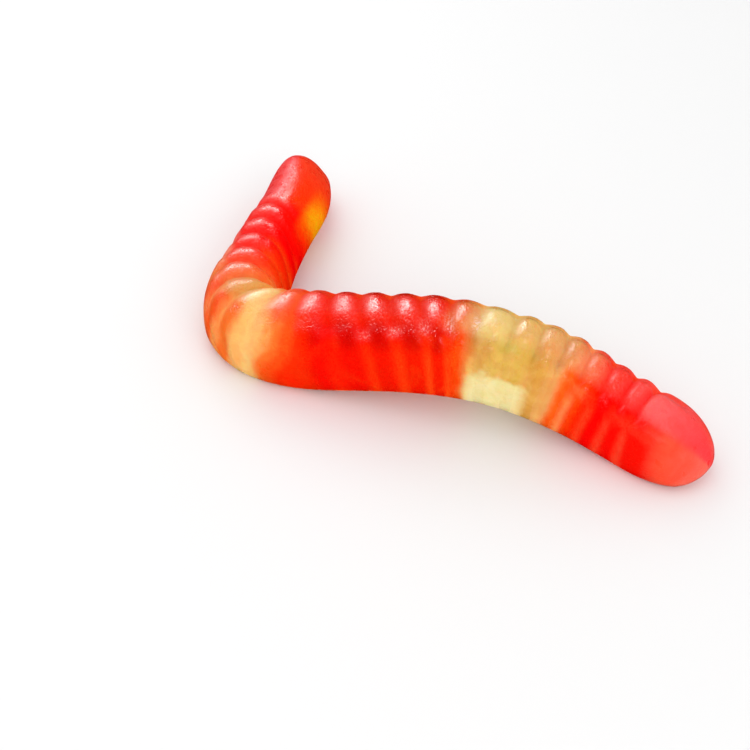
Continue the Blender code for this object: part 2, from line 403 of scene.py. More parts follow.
# %% [markdown]
# ## Writing formulas as nodes
# A long formula made of Math nodes is hard to read as a list of links. This small helper lets the script
# write the formula with the usual signs, and places one Math node for each sign. It works in a geometry
# tree and in a shader tree, because both have the same Math node. Three shapes of curve come up again and
# again, so each has a name: a smooth step, a smooth stretch with two ends, and a bell.


# %% A helper that writes Math nodes
class Term:
    """A number that travels through a node tree."""

    def __init__(self, tree, socket):
        self.tree = tree
        self.socket = socket

    def math(self, operation, *others):
        """A Math node fed by this term and the others."""
        node = self.tree.nodes.new("ShaderNodeMath")
        node.operation = operation
        for place, value in zip(node.inputs, (self, *others)):
            feed(self.tree, place, value)
        return Term(self.tree, node.outputs[0])

    def __add__(self, other):
        return self.math("ADD", other)

    def __sub__(self, other):
        return self.math("SUBTRACT", other)

    def __mul__(self, other):
        return self.math("MULTIPLY", other)

    def __truediv__(self, other):
        return self.math("DIVIDE", other)

    def __pow__(self, other):
        return self.math("POWER", other)

    def flipped(self):
        """One minus this term."""
        return (self * -1.0) + 1.0

    def clamped(self):
        """This term held between 0 and 1."""
        return self.math("MINIMUM", 1.0).math("MAXIMUM", 0.0)

    def eased(self, start, end):
        """0 before start and 1 after end, with a smooth change between them."""
        node = self.tree.nodes.new("ShaderNodeMapRange")
        node.interpolation_type = "SMOOTHSTEP"
        feed(self.tree, node.inputs["Value"], self)
        feed(self.tree, node.inputs["From Min"], start)
        feed(self.tree, node.inputs["From Max"], end)
        return Term(self.tree, node.outputs["Result"])

    def between(self, start, full, fading, end):
        """1 from full to fading, rising smoothly from start and falling smoothly to end."""
        return self.eased(start, full) * self.eased(fading, end).flipped()

    def bell(self, middle, spread):
        """A bell curve: 1 at the middle, and falling off to both sides."""
        return (((self - middle) / spread) ** 2.0 * -1.0).math("EXPONENT")


def feed(tree, socket, value):
    """Link a term or an output to a socket, or write a plain value in it."""
    if isinstance(value, Term):
        tree.links.new(value.socket, socket)
    elif isinstance(value, bpy.types.NodeSocket):
        tree.links.new(value, socket)
    else:
        socket.default_value = value


print("formula helper ready")

# %% [markdown]
# ## The node tree of the body
# The tree takes the line and grows a skin round it. It starts from a flat grid: one side of the grid counts
# along the worm, the other counts round it. Each grid point looks up the line at its own place, works out
# where it sits on the section there, and moves to that place. A grid with its own formula gives far more
# control over the section than a Curve to Mesh with a fixed profile, because the ribs, the flat foot and
# the squeezed side of the elbow all change from place to place.

# %% Named inputs of the tree
BODY_INPUTS = (
    ("Rings", "NodeSocketInt", 760),
    ("Points Round", "NodeSocketInt", 121),
    ("Body Length", "NodeSocketFloat", LENGTH * MM),
    ("Dome Fullness", "NodeSocketFloat", DOME_FULLNESS),
    ("Widest Level", "NodeSocketFloat", WIDEST_LEVEL),
    ("Foot Corner", "NodeSocketFloat", FOOT_CORNER * MM),
    ("Lean Pivot", "NodeSocketFloat", LEAN_PIVOT * MM),
    ("Squeeze Limit", "NodeSocketFloat", 0.75),
    ("Rib Pitch", "NodeSocketFloat", RIB_PITCH * MM),
    ("First Groove", "NodeSocketFloat", FIRST_GROOVE * MM),
    ("Groove Count", "NodeSocketInt", GROOVE_COUNT),
    ("Groove Roundness", "NodeSocketFloat", 0.54),
    ("Valley Softness", "NodeSocketFloat", 0.24),
    ("Waist From Crest", "NodeSocketFloat", 28.0),
    ("Waist Spread", "NodeSocketFloat", 9.0),
    ("Smooth Foot", "NodeSocketFloat", 1.2 * MM),
    ("Rib Fade", "NodeSocketFloat", 1.6 * MM),
    ("Dent Place", "NodeSocketFloat", 34.5 * MM),
    ("Dent Reach", "NodeSocketFloat", 0.55 * MM),
    ("Dent Angle", "NodeSocketFloat", 123.0),
    ("Dent Spread", "NodeSocketFloat", 11.0),
    ("Dent Depth", "NodeSocketFloat", 0.16 * MM),
    ("Unevenness", "NodeSocketFloat", 0.10 * MM),
    ("Seed", "NodeSocketFloat", 4.0),
)

body_tree = bpy.data.node_groups.new("worm body", "GeometryNodeTree")
body_tree.interface.new_socket("Line", in_out="INPUT", socket_type="NodeSocketGeometry")
for name, kind, value in BODY_INPUTS:
    socket = body_tree.interface.new_socket(name, in_out="INPUT", socket_type=kind)
    socket.default_value = value
body_tree.interface.new_socket("Body", in_out="OUTPUT", socket_type="NodeSocketGeometry")
body_in = body_tree.nodes.new("NodeGroupInput")
body_out = body_tree.nodes.new("NodeGroupOutput")
print("the body tree has", len(BODY_INPUTS), "sizes to turn")

# %% [markdown]
# ### Reading the ruler
# A Sample Curve node looks up an attribute at a share of the curve's length. It is used again and again, so
# it gets a function, and so do the scaling and the adding of vectors, which place each point.


# %% Small parts of the geometry tree
def size(name):
    """A named input of the body tree."""
    return Term(body_tree, body_in.outputs[name])


def look_up(name, kind, factor):
    """The value that the line carries under a name, at a share of its length."""
    named = body_tree.nodes.new("GeometryNodeInputNamedAttribute")
    named.data_type = kind
    named.inputs["Name"].default_value = name
    sample = body_tree.nodes.new("GeometryNodeSampleCurve")
    sample.data_type = kind
    sample.mode = "FACTOR"
    body_tree.links.new(line_curve, sample.inputs["Curves"])
    body_tree.links.new(named.outputs["Attribute"], sample.inputs["Value"])
    feed(body_tree, sample.inputs["Factor"], factor)
    return sample


def number_at(name, factor):
    """A number carried by the line."""
    return Term(body_tree, look_up(name, "FLOAT", factor).outputs["Value"])


def scaled(vector, amount):
    """A vector socket times a term."""
    node = body_tree.nodes.new("ShaderNodeVectorMath")
    node.operation = "SCALE"
    body_tree.links.new(vector, node.inputs[0])
    feed(body_tree, node.inputs["Scale"], amount)
    return node.outputs[0]


def summed(*vectors):
    """The sum of several vector sockets."""
    total = vectors[0]
    for vector in vectors[1:]:
        node = body_tree.nodes.new("ShaderNodeVectorMath")
        node.operation = "ADD"
        body_tree.links.new(total, node.inputs[0])
        body_tree.links.new(vector, node.inputs[1])
        total = node.outputs[0]
    return total


to_curve = body_tree.nodes.new("GeometryNodeMeshToCurve")
body_tree.links.new(body_in.outputs["Line"], to_curve.inputs["Mesh"])
line_curve = to_curve.outputs["Curve"]
print("the line can be read at any share of its length")

# %% [markdown]
# ### Along and round
# The rings are packed closely at both noses, where the body rounds off quickly, and spread out in the
# middle. A sine taken from an even count does that. Round the body, the first half of the count goes over
# the dome and the second half goes back under the foot.

# %% Along and round
NOSE_PACKING = 0.9

grid = body_tree.nodes.new("GeometryNodeMeshGrid")
grid.inputs["Size X"].default_value = 1.0
grid.inputs["Size Y"].default_value = 1.0
feed(body_tree, grid.inputs["Vertices X"], size("Rings"))
feed(body_tree, grid.inputs["Vertices Y"], size("Points Round"))
place = body_tree.nodes.new("GeometryNodeInputPosition")
split = body_tree.nodes.new("ShaderNodeSeparateXYZ")
body_tree.links.new(place.outputs[0], split.inputs[0])
even = Term(body_tree, split.outputs["X"]) + 0.5
ring_factor = (even - (even * (2.0 * math.pi)).math("SINE") * (NOSE_PACKING / (2.0 * math.pi))).clamped()
angle = (Term(body_tree, split.outputs["Y"]) + 0.5) * (2.0 * math.pi)
cosine = angle.math("COSINE")
sine = angle.math("SINE")
on_foot = angle.math("GREATER_THAN", math.pi)
print("the grid counts along the body and round it")

# %% [markdown]
# ### The plain section
# The dome is a superellipse: a little fuller than a true ellipse, with its widest level about a third of
# the way up. Below that level a rounded corner turns in to the flat foot.

# %% Dome and foot
FLAT_SHARE = 0.35
CORNER_LIMIT = 0.3

power = (size("Dome Fullness") * 0.5) ** -1.0
across = (angle - math.pi) * (2.0 / math.pi) - 1.0
reach = across.math("ABSOLUTE")
corner_turn = (reach.flipped() / (1.0 - FLAT_SHARE)).clamped() * (0.5 * math.pi)
flat_part = (reach / FLAT_SHARE).clamped()


def section_side(width):
    """How far to the left a point of the section lies."""
    half = width * 0.5
    corner = size("Foot Corner").math("MINIMUM", width * CORNER_LIMIT)
    dome = half * cosine.math("SIGN") * (cosine.math("ABSOLUTE") ** power)
    foot = across.math("SIGN") * ((half - corner) * flat_part + corner * corner_turn.math("COSINE"))
    return dome + (foot - dome) * on_foot


def section_up(height):
    """How high above the foot a point of the section lies."""
    widest = height * size("Widest Level")
    dome = widest + (height - widest) * (sine.math("MAXIMUM", 0.0) ** power)
    foot = widest * corner_turn.math("SINE").flipped()
    return dome + (foot - dome) * on_foot


print("section made of a dome and a foot, joined at the widest level")

# %% [markdown]
# ### Leaning rings
# Where the body bends, its ribs no longer stand square to it: they lean along the body, and on the far leg
# they rake back below the crest. So the whole ring leans. A ring is first asked how far to the side and how
# far below the crest a point lies, and the point is moved along the ruler in proportion. Its sizes are then
# read at that new place, but it keeps the rib count of its own ring, so the grooves lean with the rings.

# %% Lean, then read the ruler
first_side = section_side(number_at("width", ring_factor))
first_height = number_at("height", ring_factor)
leaned = number_at("lean", ring_factor) * (first_side - size("Lean Pivot"))
raked = number_at("rake", ring_factor) * (first_height - section_up(first_height))
factor = (ring_factor + (raked - leaned) / size("Body Length")).clamped()
path = look_up("path", "FLOAT_VECTOR", factor).outputs["Value"]
left = look_up("left", "FLOAT_VECTOR", factor).outputs["Value"]
above = look_up("above", "FLOAT_VECTOR", factor).outputs["Value"]
width = number_at("width", factor)
height = number_at("height", factor)
lift = number_at("lift", factor)
turning = number_at("turning", factor)
half = width * 0.5
widest = height * size("Widest Level")
plain_side = section_side(width)
plain_up = section_up(height)
along = factor * size("Body Length")
print("each grid point has found its mark on the ruler")

# %% [markdown]
# ### The ribs
# The ribs are rounded beads with narrow grooves between them. A sine raised to a small power has just that
# outline, and a small constant under the root keeps the bottom of each groove soft. The grooves are deepest
# over the crest and shallower on the flanks. No two ribs of a real worm are quite alike, so each groove gets
# its own small change of depth.

# %% Grooves
SHALLOWER = 1.08
DEPTH_CHANCE = 0.3

count = (number_at("rib", ring_factor) - size("First Groove")) / size("Rib Pitch")
in_range = count.math("GREATER_THAN", -0.5) * count.math("LESS_THAN", size("Groove Count") - 0.5)
beat = (count * math.pi).math("SINE")
soft_beat = (beat * beat + size("Valley Softness") ** 2.0).math("SQRT").math("MINIMUM", 1.0)
valley_floor = (size("Valley Softness") ** size("Groove Roundness")).flipped() * SHALLOWER
groove_shape = (soft_beat ** size("Groove Roundness")).flipped() / valley_floor * in_range
valley = (beat * beat).flipped() * in_range
degrees_round = angle * (180.0 / math.pi)
from_crest = (degrees_round - 90.0).math("ABSOLUTE")
crest_share = from_crest.eased(*CREST_TO_FLANK).flipped()
flank_depth = number_at("flank depth", factor)
depth = flank_depth + (number_at("crest depth", factor) - flank_depth) * crest_share

chance = body_tree.nodes.new("ShaderNodeTexWhiteNoise")
chance.noise_dimensions = "1D"
feed(body_tree, chance.inputs["W"], count.math("ROUND") + size("Seed"))
depth = depth * (Term(body_tree, chance.outputs["Value"]) * DEPTH_CHANCE + (1.0 - 0.5 * DEPTH_CHANCE))
print(GROOVE_COUNT, "grooves set out")

# %% [markdown]
# The grooves fade out above the foot and at the smooth noses. A waist runs along each shoulder and parts the
# knobs of the crest from the flanks. The elbow also has one small dent on its outer shoulder.

# %% Fades, waist and dent
DENT_SHARPNESS = 1.5

foot_fade = plain_up.eased(size("Smooth Foot"), size("Smooth Foot") + size("Rib Fade"))
head_fade = along.eased(HEAD_FADE[0] * MM, HEAD_FADE[1] * MM)
from_tail = size("Body Length") - along
end_fade = head_fade * from_tail.eased(TAIL_GROOVE_FADE[0] * MM, TAIL_GROOVE_FADE[1] * MM)
waist = number_at("waist depth", factor) * from_crest.bell(size("Waist From Crest"), size("Waist Spread"))
waist = waist * head_fade * from_tail.eased(TAIL_WAIST_FADE[0] * MM, TAIL_WAIST_FADE[1] * MM)
dent_along = (along - size("Dent Place")) / size("Dent Reach")
dent_round = (degrees_round - size("Dent Angle")) / size("Dent Spread")
dent = ((dent_along ** 2.0 + dent_round ** 2.0) ** DENT_SHARPNESS * -1.0).math("EXPONENT")
groove = (depth * groove_shape * end_fade + waist) * foot_fade + size("Dent Depth") * dent
print("grooves, waist and dent together make the depth of each point")

# %% [markdown]
# ### The skin
# The groove depth pulls each point in towards the middle of the section. On the inner side of the elbow
# the jelly is squeezed, so points there are held back from the centre of the turn.

# %% Ribbed and squeezed section
SQUEEZE_SHARPNESS = 4.0
SMALLEST_RADIUS = 0.01 * MM
MIDDLE_KEPT = 0.2

radius = ((plain_side ** 2.0) + (plain_up - widest) ** 2.0).math("SQRT").math("MAXIMUM", SMALLEST_RADIUS)
shrink = (radius - groove).math("MAXIMUM", radius * MIDDLE_KEPT) / radius
ribbed_side = plain_side * shrink
ribbed_up = widest + (plain_up - widest) * shrink
pull = (ribbed_side * turning).math("MAXIMUM", 0.0)
hold = ((pull / size("Squeeze Limit")) ** SQUEEZE_SHARPNESS + 1.0) ** (1.0 / SQUEEZE_SHARPNESS)
squeezed_side = ribbed_side / hold
print("the section is ribbed, and squeezed inside the elbow")

# %% [markdown]
# At last a soft noise makes the surface slightly uneven, as cast jelly is. It only presses the skin in, so
# the body never grows past its sizes, and it fades out above the foot, which stays flat.

# %% Final place of each point
UNEVEN_SCALE = 330.0
UNEVEN_DETAIL = 2.0
UNEVEN_TOP = 0.62
UNEVEN_GAIN = 2.0

noise = body_tree.nodes.new("ShaderNodeTexNoise")
noise.inputs["Scale"].default_value = UNEVEN_SCALE
noise.inputs["Detail"].default_value = UNEVEN_DETAIL
smooth_place = summed(
    path,
    scaled(left, squeezed_side),
    scaled(above, ribbed_up + lift),
)
body_tree.links.new(smooth_place, noise.inputs["Vector"])
uneven = (Term(body_tree, noise.outputs[0]) - UNEVEN_TOP).math("MINIMUM", 0.0)
uneven = uneven * size("Unevenness") * UNEVEN_GAIN * foot_fade
outward_side = plain_side / radius
outward_up = (plain_up - widest) / radius
body_place = summed(
    smooth_place,
    scaled(left, outward_side * uneven),
    scaled(above, outward_up * uneven),
)
print("skin placed")


# %% [markdown]
# ### Close the skin and remember the place
# The material will need to know how far along the body a point is, how high up it is, on which side it
# lies and whether it is in a groove. These are stored by name before the grid is bent. Merging by distance
# then closes the two tips and the seam, which runs along the left side at the widest level.


# %% Store, bend, close
SMALLEST_SECTION = 0.5 * MM
MERGE_DISTANCE = 0.002 * MM


def chained(kind, geometry):
    """A geometry node that takes up the geometry so far."""
    node = body_tree.nodes.new(kind)
    body_tree.links.new(geometry, node.inputs["Geometry"])
    return node


def stored(geometry, name, value):
    """A number stored on the points of the geometry."""
    node = chained("GeometryNodeStoreNamedAttribute", geometry)
    node.data_type = "FLOAT"
    node.domain = "POINT"
    node.inputs["Name"].default_value = name
    feed(body_tree, node.inputs["Value"], value)
    return node.outputs["Geometry"]


geometry = grid.outputs["Mesh"]
geometry = stored(geometry, "along", factor)
geometry = stored(geometry, "level", plain_up / height.math("MAXIMUM", SMALLEST_SECTION))
geometry = stored(geometry, "sideways", plain_side / half.math("MAXIMUM", SMALLEST_SECTION))
geometry = stored(geometry, "valley", valley * end_fade)
bend = chained("GeometryNodeSetPosition", geometry)
body_tree.links.new(body_place, bend.inputs["Position"])
close = chained("GeometryNodeMergeByDistance", bend.outputs["Geometry"])
close.inputs["Distance"].default_value = MERGE_DISTANCE
round_off = chained("GeometryNodeSetShadeSmooth", close.outputs["Geometry"])
realize = chained("GeometryNodeRealizeInstances", round_off.outputs["Geometry"])
dress = chained("GeometryNodeSetMaterial", realize.outputs["Geometry"])
body_tree.links.new(dress.outputs["Geometry"], body_out.inputs["Body"])
print("the body tree has", len(body_tree.nodes), "nodes")

# %% [markdown]
# ## The jelly
# Jelly lets light in, scatters it and lets it out again coloured. Subsurface scattering gives that glow.
# Red light travels furthest under the skin, so the shaded parts stay a clear red. Several colours are
# poured into one mould, so the colour is read from where a point lies along the body. The colours flow into
# each other at a slant, so the crest, the flank on the inner side of the bend and the flank on its outer
# side each have their own colour ramp.

# %% Colours along the worm
# Each stop is a place in millimetres from the tip of the head, and a colour.
CREST_COLOURS = (
    (0.0, (0.87, 0.036, 0.036)),
    (11.0, (0.88, 0.028, 0.028)),
    (15.0, (0.90, 0.030, 0.022)),
    (20.5, (0.90, 0.014, 0.010)),
    (23.0, (0.91, 0.032, 0.018)),
    (25.5, (0.91, 0.072, 0.022)),
    (27.5, (0.88, 0.150, 0.040)),
    (30.0, (0.70, 0.300, 0.070)),
    (31.8, (0.76, 0.350, 0.095)),
    (32.7, (0.90, 0.560, 0.200)),
    (34.0, (0.90, 0.520, 0.190)),
    (35.2, (0.92, 0.300, 0.095)),
    (36.2, (0.94, 0.125, 0.030)),
    (38.2, (0.93, 0.085, 0.015)),
    (39.6, (0.92, 0.040, 0.005)),
    (42.0, (0.88, 0.016, 0.003)),
    (54.6, (0.84, 0.018, 0.003)),
    (56.2, (0.78, 0.150, 0.030)),
    (57.4, (0.74, 0.320, 0.110)),
    (58.6, (0.78, 0.580, 0.210)),
    (60.0, (0.78, 0.580, 0.210)),
    (61.2, (0.72, 0.440, 0.125)),
    (66.2, (0.72, 0.310, 0.105)),
    (68.0, (0.84, 0.200, 0.085)),
    (70.6, (0.90, 0.045, 0.025)),
    (73.4, (0.93, 0.050, 0.040)),
    # From here to the tip the pink of the crest is partly the jelly's own pink and partly painted sheen of
    # the highlights on the tail's knobs.
    (78.0, (0.95, 0.120, 0.115)),
    (84.5, (0.94, 0.052, 0.058)),
)
OUTER_COLOURS = (
    (0.0, (0.88, 0.080, 0.070)),
    # The paler stops from 18 to 23 mm give the outer edge of the far leg a light rim: painted light.
    (18.0, (0.92, 0.120, 0.100)),
    (23.0, (0.94, 0.210, 0.130)),
    (26.4, (0.88, 0.190, 0.055)),
    (28.4, (0.88, 0.100, 0.026)),
    (29.2, (0.93, 0.210, 0.065)),
    (30.2, (0.88, 0.090, 0.010)),
    (31.2, (0.93, 0.300, 0.080)),
    (31.8, (0.89, 0.150, 0.018)),
    (32.3, (0.89, 0.170, 0.022)),
    (33.1, (0.92, 0.490, 0.150)),
    (34.6, (0.93, 0.530, 0.175)),
    (35.7, (0.93, 0.380, 0.105)),
    (36.7, (0.92, 0.190, 0.026)),
    (38.2, (0.93, 0.095, 0.008)),
    (40.2, (0.90, 0.022, 0.001)),
    (42.8, (0.88, 0.004, 0.001)),
    (55.6, (0.86, 0.012, 0.001)),
    (57.0, (0.88, 0.075, 0.003)),
    (57.7, (0.74, 0.190, 0.035)),
    (58.4, (0.66, 0.360, 0.085)),
    (61.0, (0.66, 0.450, 0.085)),
    (64.0, (0.68, 0.360, 0.070)),
    (65.6, (0.78, 0.400, 0.130)),
    (66.7, (0.92, 0.120, 0.008)),
    (68.4, (0.94, 0.060, 0.003)),
    (69.6, (0.94, 0.018, 0.001)),
    (71.0, (0.94, 0.002, 0.001)),
    (78.8, (0.94, 0.006, 0.002)),
    (81.2, (0.95, 0.085, 0.038)),
    (84.5, (0.95, 0.140, 0.100)),
)
INNER_COLOURS = (
    (0.0, (0.92, 0.050, 0.018)),
    (12.6, (0.94, 0.038, 0.003)),
    (14.4, (0.94, 0.004, 0.001)),
    (21.0, (0.94, 0.001, 0.001)),
    (23.0, (0.94, 0.016, 0.001)),
    (26.6, (0.94, 0.050, 0.003)),
    (28.6, (0.90, 0.200, 0.040)),
    (30.6, (0.86, 0.330, 0.080)),
    (33.0, (0.90, 0.400, 0.100)),
    (35.5, (0.90, 0.090, 0.010)),
    (37.5, (0.84, 0.030, 0.002)),
    (55.0, (0.80, 0.055, 0.003)),
    (57.5, (0.76, 0.300, 0.060)),
    (59.5, (0.78, 0.460, 0.110)),
    (65.0, (0.78, 0.300, 0.080)),
    (67.5, (0.88, 0.140, 0.060)),
    (70.0, (0.90, 0.060, 0.040)),
    (84.5, (0.92, 0.080, 0.075)),
)
print("three lists with", len(CREST_COLOURS), len(OUTER_COLOURS), "and", len(INNER_COLOURS), "stops")

# %% [markdown]
# ### Helpers for the paint
# The same few kinds of shader node are needed many times: a number that was stored on the mesh, a colour
# ramp along the body, a blend of two colours and a soft noise. Each gets a short function. The noise reads
# Object coordinates, so its pattern keeps its size in millimetres and stays where it is on the body.

# %% Paint helpers
jelly = bpy.data.materials.new("jelly")
jelly.use_nodes = True
paint = jelly.node_tree
shader = paint.nodes["Principled BSDF"]
coordinates = paint.nodes.new("ShaderNodeTexCoord")


def read(name):
    """A number stored on the mesh, in the jelly material."""
    node = paint.nodes.new("ShaderNodeAttribute")
    node.attribute_type = "GEOMETRY"
    node.attribute_name = name
    return Term(paint, node.outputs["Fac"])


def colour_ramp(stops, station):
    """A colour ramp read at a place in millimetres along the body."""
    node = paint.nodes.new("ShaderNodeValToRGB")
    ramp = node.color_ramp
    ramp.interpolation = "EASE"
    for element, (place, colour) in zip(ramp.elements, (stops[0], stops[-1])):
        element.position = place / LENGTH
        element.color = (*colour, 1.0)
    for place, colour in stops[1:-1]:
        element = ramp.elements.new(place / LENGTH)
        element.color = (*colour, 1.0)
    feed(paint, node.inputs["Fac"], station / LENGTH)
    return node.outputs["Color"]


def blended(share, first, second, mode="MIX"):
    """Two colours mixed by a share."""
    node = paint.nodes.new("ShaderNodeMix")
    node.data_type = "RGBA"
    node.blend_type = mode
    feed(paint, node.inputs[0], share)
    feed(paint, node.inputs[6], first)
    feed(paint, node.inputs[7], second)
    return node.outputs[2]


def noise_at(scale, detail=2.0, distortion=0.0):
    """Noise over the body, from 0 to 1."""
    node = paint.nodes.new("ShaderNodeTexNoise")
    node.inputs["Scale"].default_value = scale
    node.inputs["Detail"].default_value = detail
    node.inputs["Distortion"].default_value = distortion
    paint.links.new(coordinates.outputs["Object"], node.inputs["Vector"])
    return Term(paint, node.outputs[0])


print("paint helpers ready")

# %% [markdown]
# ### Where the colours meet
# No border between two poured colours is a clean cut. A soft noise moves each border to and fro by up to
# half a millimetre, and at the start of the near leg the red has crept along the foot, under the cream. The
# colour of the crest starts high up on the body, and a little higher still on the tan bead of the elbow.
# From here on, a stretch is four places in millimetres along the body, and a start or an end is the two
# between which something fades in or out. Levels are shares of the height. An edge is the two values of a
# noise between which its patches fade in.

# %% Poured colour
POUR_WAVER = 1.0
POUR_SCALE = 330.0
CREEP_STRETCH = (34.2, 35.8, 38.0, 41.0)
CREEP_LEVELS = (0.15, 0.72)
CREEP_REACH = 3.0
TAN_STRETCH = (29.6, 31.2, 32.2, 33.4)
TAN_RISE = 0.035
CREST_LEVELS = (0.88, 0.985)
MIDDLE_BLEND = 0.2

level = read("level")
sideways = read("sideways")
station = read("along") * LENGTH + (noise_at(POUR_SCALE) - 0.5) * POUR_WAVER
creep = station.between(*CREEP_STRETCH) * level.eased(*CREEP_LEVELS).flipped()
station = station + creep * CREEP_REACH
high_flank = station.between(*TAN_STRETCH) * TAN_RISE
crest_share = (level - high_flank).eased(*CREST_LEVELS)
inner_share = sideways.eased(-MIDDLE_BLEND, MIDDLE_BLEND)
flank_colour = blended(inner_share, colour_ramp(OUTER_COLOURS, station), colour_ramp(INNER_COLOURS, station))
print("the crest's own colour starts at", CREST_LEVELS[0], "of the height")

# %% [markdown]
# ### Thin valleys
# Where the jelly is thin more light comes through it, so each valley between two ribs is painted as a soft
# streak of a
# lighter orange down the flank: painted light. The streaks are fainter at the start of the near leg, and the
# head and the elbow have none. Towards the near leg a few wisps of distorted noise come in between the
# streaks.

# %% Streaks in the valleys
VALLEY_COLOURS = (
    (0.0, (0.94, 0.030, 0.004)),
    (24.0, (0.96, 0.060, 0.004)),
    (28.0, (0.92, 0.180, 0.040)),
    (36.0, (0.92, 0.100, 0.010)),
    (42.0, (0.92, 0.020, 0.002)),
    (50.0, (0.92, 0.040, 0.003)),
    (56.6, (0.92, 0.070, 0.005)),
    (58.2, (0.80, 0.500, 0.140)),
    (65.0, (0.80, 0.430, 0.120)),
    (68.0, (0.96, 0.270, 0.080)),
    (69.5, (0.96, 0.060, 0.012)),
    (73.0, (0.96, 0.050, 0.016)),
    (84.5, (0.96, 0.070, 0.030)),
)
STREAK_START = (19.0, 22.0)
STREAK_STRENGTH = 0.85
STREAK_SHARPNESS = 2.6
ELBOW_STRETCH = (26.0, 28.5, 36.2, 37.6)
FAINT_STRETCH = (36.0, 38.0, 45.0, 51.0)
FAINTER = 0.6
LOW_LEVELS = (0.58, 0.86)
WISP_START = (30.0, 40.0)
WISP_LEVELS = (0.10, 0.25)
WISP_EDGE = (0.50, 0.66)
WISP_STRENGTH = 0.45

valley = read("valley")
# Painted light: lighter streaks in the valleys, where light comes through the thinner jelly.
streak = (valley ** STREAK_SHARPNESS) * station.eased(*STREAK_START)
streak = streak * station.between(*ELBOW_STRETCH).flipped() * STREAK_STRENGTH
low_flank = level.eased(*LOW_LEVELS).flipped()
faint = station.between(*FAINT_STRETCH) * -FAINTER + 1.0
streak = streak * faint * (inner_share * low_flank.flipped() + low_flank)
wisp = noise_at(230.0, detail=3.0, distortion=1.2).eased(*WISP_EDGE) * WISP_STRENGTH
wisp = wisp * level.eased(*WISP_LEVELS) * station.eased(*WISP_START)
streaked = streak.math("MAXIMUM", wisp)
flank_colour = blended(streaked, flank_colour, colour_ramp(VALLEY_COLOURS, station))
print("streaks and wisps in", len(VALLEY_COLOURS), "stops of colour")

# %% [markdown]
# ### Painted shade on the beads and light from below
# Below the crest the ribs of the near leg are painted in shade, a deeper red. Light that comes up through
# the jelly from the
# table shows in three places: as a bright patch with a ragged edge at the foot of the pale stretch, as an
# orange glow on the inner side of the head, and as a thin lit edge along the foot of the near leg. Each is a
# blend of one more colour into the flank.

# %% Painted shade on the beads, bright foot, glow and lit edge
DEEP_SHADE_COLOUR = (0.59, 0.002, 0.001, 1.0)
DEEP_SHADE_STRETCH = (40.0, 44.0, 55.0, 57.0)
DEEP_SHADE_LEVELS = (0.62, 0.80)
DEEP_SHADE_SHARE = 0.8
BRIGHT_COLOUR = (0.82, 0.71, 0.34, 1.0)
BRIGHT_STRETCH = (57.2, 58.6, 62.4, 64.2)
BRIGHT_LEVELS = (0.46, 0.62)
RAGGED_SCALE = 450.0
RAGGED_SHARE = 0.5
GLOW_COLOUR = (1.0, 0.36, 0.004, 1.0)
GLOW_PLACE = 12.6
GLOW_SPREAD = 2.6
GLOW_LEVELS = (0.34, 0.62)
LIT_COLOUR = (0.95, 0.16, 0.012, 1.0)
LIT_STRETCH = (36.0, 40.0, 55.0, 57.0)
LIT_LEVELS = (0.02, 0.08)
LIT_SHARE = 0.7

# Painted shade: a deeper red on the ribs of the near leg below the crest, kept out of the valleys.
painted_deep_shade = level.eased(*DEEP_SHADE_LEVELS) * station.between(*DEEP_SHADE_STRETCH)
flank_colour = blended(painted_deep_shade * valley.flipped() * DEEP_SHADE_SHARE, flank_colour, DEEP_SHADE_COLOUR)
ragged_level = level + (noise_at(RAGGED_SCALE) - 0.5) * RAGGED_SHARE
bright_foot = station.between(*BRIGHT_STRETCH) * ragged_level.eased(*BRIGHT_LEVELS).flipped()
flank_colour = blended(bright_foot, flank_colour, BRIGHT_COLOUR)
glow = station.bell(GLOW_PLACE, GLOW_SPREAD) * inner_share * level.eased(*GLOW_LEVELS).flipped()
flank_colour = blended(glow, flank_colour, GLOW_COLOUR)
lit_edge = level.eased(*LIT_LEVELS).flipped() * inner_share.flipped() * LIT_SHARE
lit_edge = lit_edge * station.between(*LIT_STRETCH)
flank_colour = blended(lit_edge, flank_colour, LIT_COLOUR)
print("glow at", GLOW_PLACE, "mm from the tip of the head")

# %% [markdown]
# ### Crest and flanks together
# On the tail the red shows between the knobs of the crest too. Then the crest's colour goes over the colour
# of the flanks.

# %% Whole colour of the body
RED_TAIL_START = (69.0, 74.0)
GAP_COLOUR = (0.95, 0.014, 0.008, 1.0)
GAP_SHARE = 0.7

# The pink of the tail's knobs is partly painted sheen; between the knobs the red of the jelly shows.
tail = station.eased(*RED_TAIL_START)
crest_colour = blended(tail * valley * GAP_SHARE, colour_ramp(CREST_COLOURS, station), GAP_COLOUR)
body_colour = blended(crest_share, flank_colour, crest_colour)
print("crest and flanks are one colour tree of", len(paint.nodes), "nodes")

# %% [markdown]
# ### Frost and painted sheen on the beads
# The tops of the beads rub against their neighbours in the bag and hold a trace of starch, and the soft haze
# of the highlights on them is painted in too, so they look a little whiter than the jelly below, in fine
# speckles.
# The frost and sheen is a thin share of a pale pink, and the beads of the near leg hold more of it, as
# painted sheen. A row of small painted highlights sits in the grooves of the near leg, along its outer
# shoulder.

